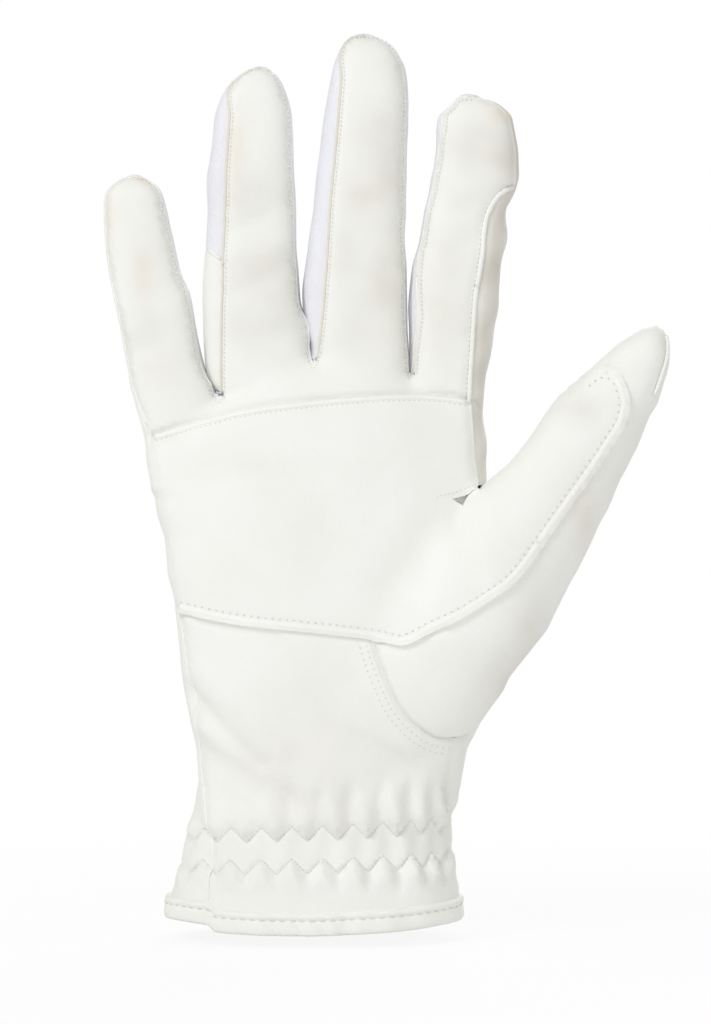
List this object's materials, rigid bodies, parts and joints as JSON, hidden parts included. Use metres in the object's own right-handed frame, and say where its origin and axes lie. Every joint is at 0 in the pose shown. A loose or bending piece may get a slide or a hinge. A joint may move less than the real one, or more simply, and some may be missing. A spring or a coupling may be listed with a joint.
{
  "type": "golf glove",
  "caption": "Right-hand golf glove in white synthetic leather with a palm and thumb patch, stretch finger gussets, gathered wrist, bound cuff and a hook-and-loop tab on the back.",
  "frame": {"origin": "centre of the cuff opening, at the cuff's lower edge", "axes": "+Z from the cuff to the fingertips, +X towards the thumb side, -Y out of the palm"},
  "size_m": [0.1425, 0.043, 0.2253],
  "materials": {
    "palm_leather": "matte",
    "patch_leather": "matte",
    "back_leather": "matte",
    "stretch_fabric": "knit",
    "binding_tape": "woven",
    "wrist_elastic": "woven",
    "loop_pad": "brushed",
    "hook_pad": "hooked"
  },
  "bodies": {
    "hand": {"palm_panel": "palm_leather", "back_panel": "back_leather", "ulnar_side_panel": "palm_leather", "radial_side_panel": "palm_leather", "thumb_front_panel": "palm_leather", "thumb_back_panel": "back_leather", "palm_patch": "patch_leather", "cuff_binding": "binding_tape", "slit_binding": "binding_tape", "wrist_elastic": "wrist_elastic", "loop_pad": "loop_pad", "tab_foot": "back_leather"},
    "fingers": {"finger_front_panel": "palm_leather", "finger_back_panel": "stretch_fabric", "little_side_wall": "palm_leather", "fourchette_little_ring": "stretch_fabric", "fourchette_ring_middle": "stretch_fabric", "fourchette_middle_index": "stretch_fabric", "index_side_wall": "palm_leather"},
    "little_tip": {"little_tip_front": "palm_leather", "little_tip_back": "stretch_fabric", "little_tip_ulnar_wall": "stretch_fabric", "little_tip_radial_wall": "stretch_fabric"},
    "ring_tip": {"ring_tip_front": "palm_leather", "ring_tip_back": "stretch_fabric", "ring_tip_ulnar_wall": "stretch_fabric", "ring_tip_radial_wall": "stretch_fabric"},
    "middle_tip": {"middle_tip_front": "palm_leather", "middle_tip_back": "stretch_fabric", "middle_tip_ulnar_wall": "stretch_fabric", "middle_tip_radial_wall": "stretch_fabric"},
    "index_tip": {"index_tip_front": "palm_leather", "index_tip_back": "stretch_fabric", "index_tip_ulnar_wall": "stretch_fabric", "index_tip_radial_wall": "stretch_fabric"},
    "thumb_tip": {"thumb_tip_front": "palm_leather", "thumb_tip_back": "back_leather", "thumb_patch_tip": "patch_leather"},
    "tab": {"closure_tab": "back_leather", "hook_pad": "hook_pad"}
  },
  "joints": [
    {"name": "knuckle_fold", "type": "hinge", "parent": "hand", "child": "fingers", "pos_m": [0, -0.01466, 0.1284], "axis": [0.9928, 0, 0.1201], "range_deg": [0, 60]},
    {"name": "little_bend", "type": "hinge", "parent": "fingers", "child": "little_tip", "pos_m": [-0.03961, -0.00746, 0.15743], "axis": [0.9816, 0, 0.1908], "range_deg": [0, 80]},
    {"name": "ring_bend", "type": "hinge", "parent": "fingers", "child": "ring_tip", "pos_m": [-0.0147, -0.00886, 0.172], "axis": [1, 0, -0.007], "range_deg": [0, 80]},
    {"name": "middle_bend", "type": "hinge", "parent": "fingers", "child": "middle_tip", "pos_m": [0.01149, -0.00906, 0.17791], "axis": [0.998, 0, -0.0628], "range_deg": [0, 80]},
    {"name": "index_bend", "type": "hinge", "parent": "fingers", "child": "index_tip", "pos_m": [0.03711, -0.00846, 0.16828], "axis": [0.9934, 0, -0.1149], "range_deg": [0, 80]},
    {"name": "thumb_bend", "type": "hinge", "parent": "hand", "child": "thumb_tip", "pos_m": [0.05686, -0.01826, 0.10532], "axis": [0.8049, 0, -0.5934], "range_deg": [0, 45]},
    {"name": "tab_peel", "type": "hinge", "parent": "hand", "child": "tab", "pos_m": [0.00885, 0.0223, 0.0315], "axis": [0, 0, -1], "range_deg": [0, 150]}
  ]
}
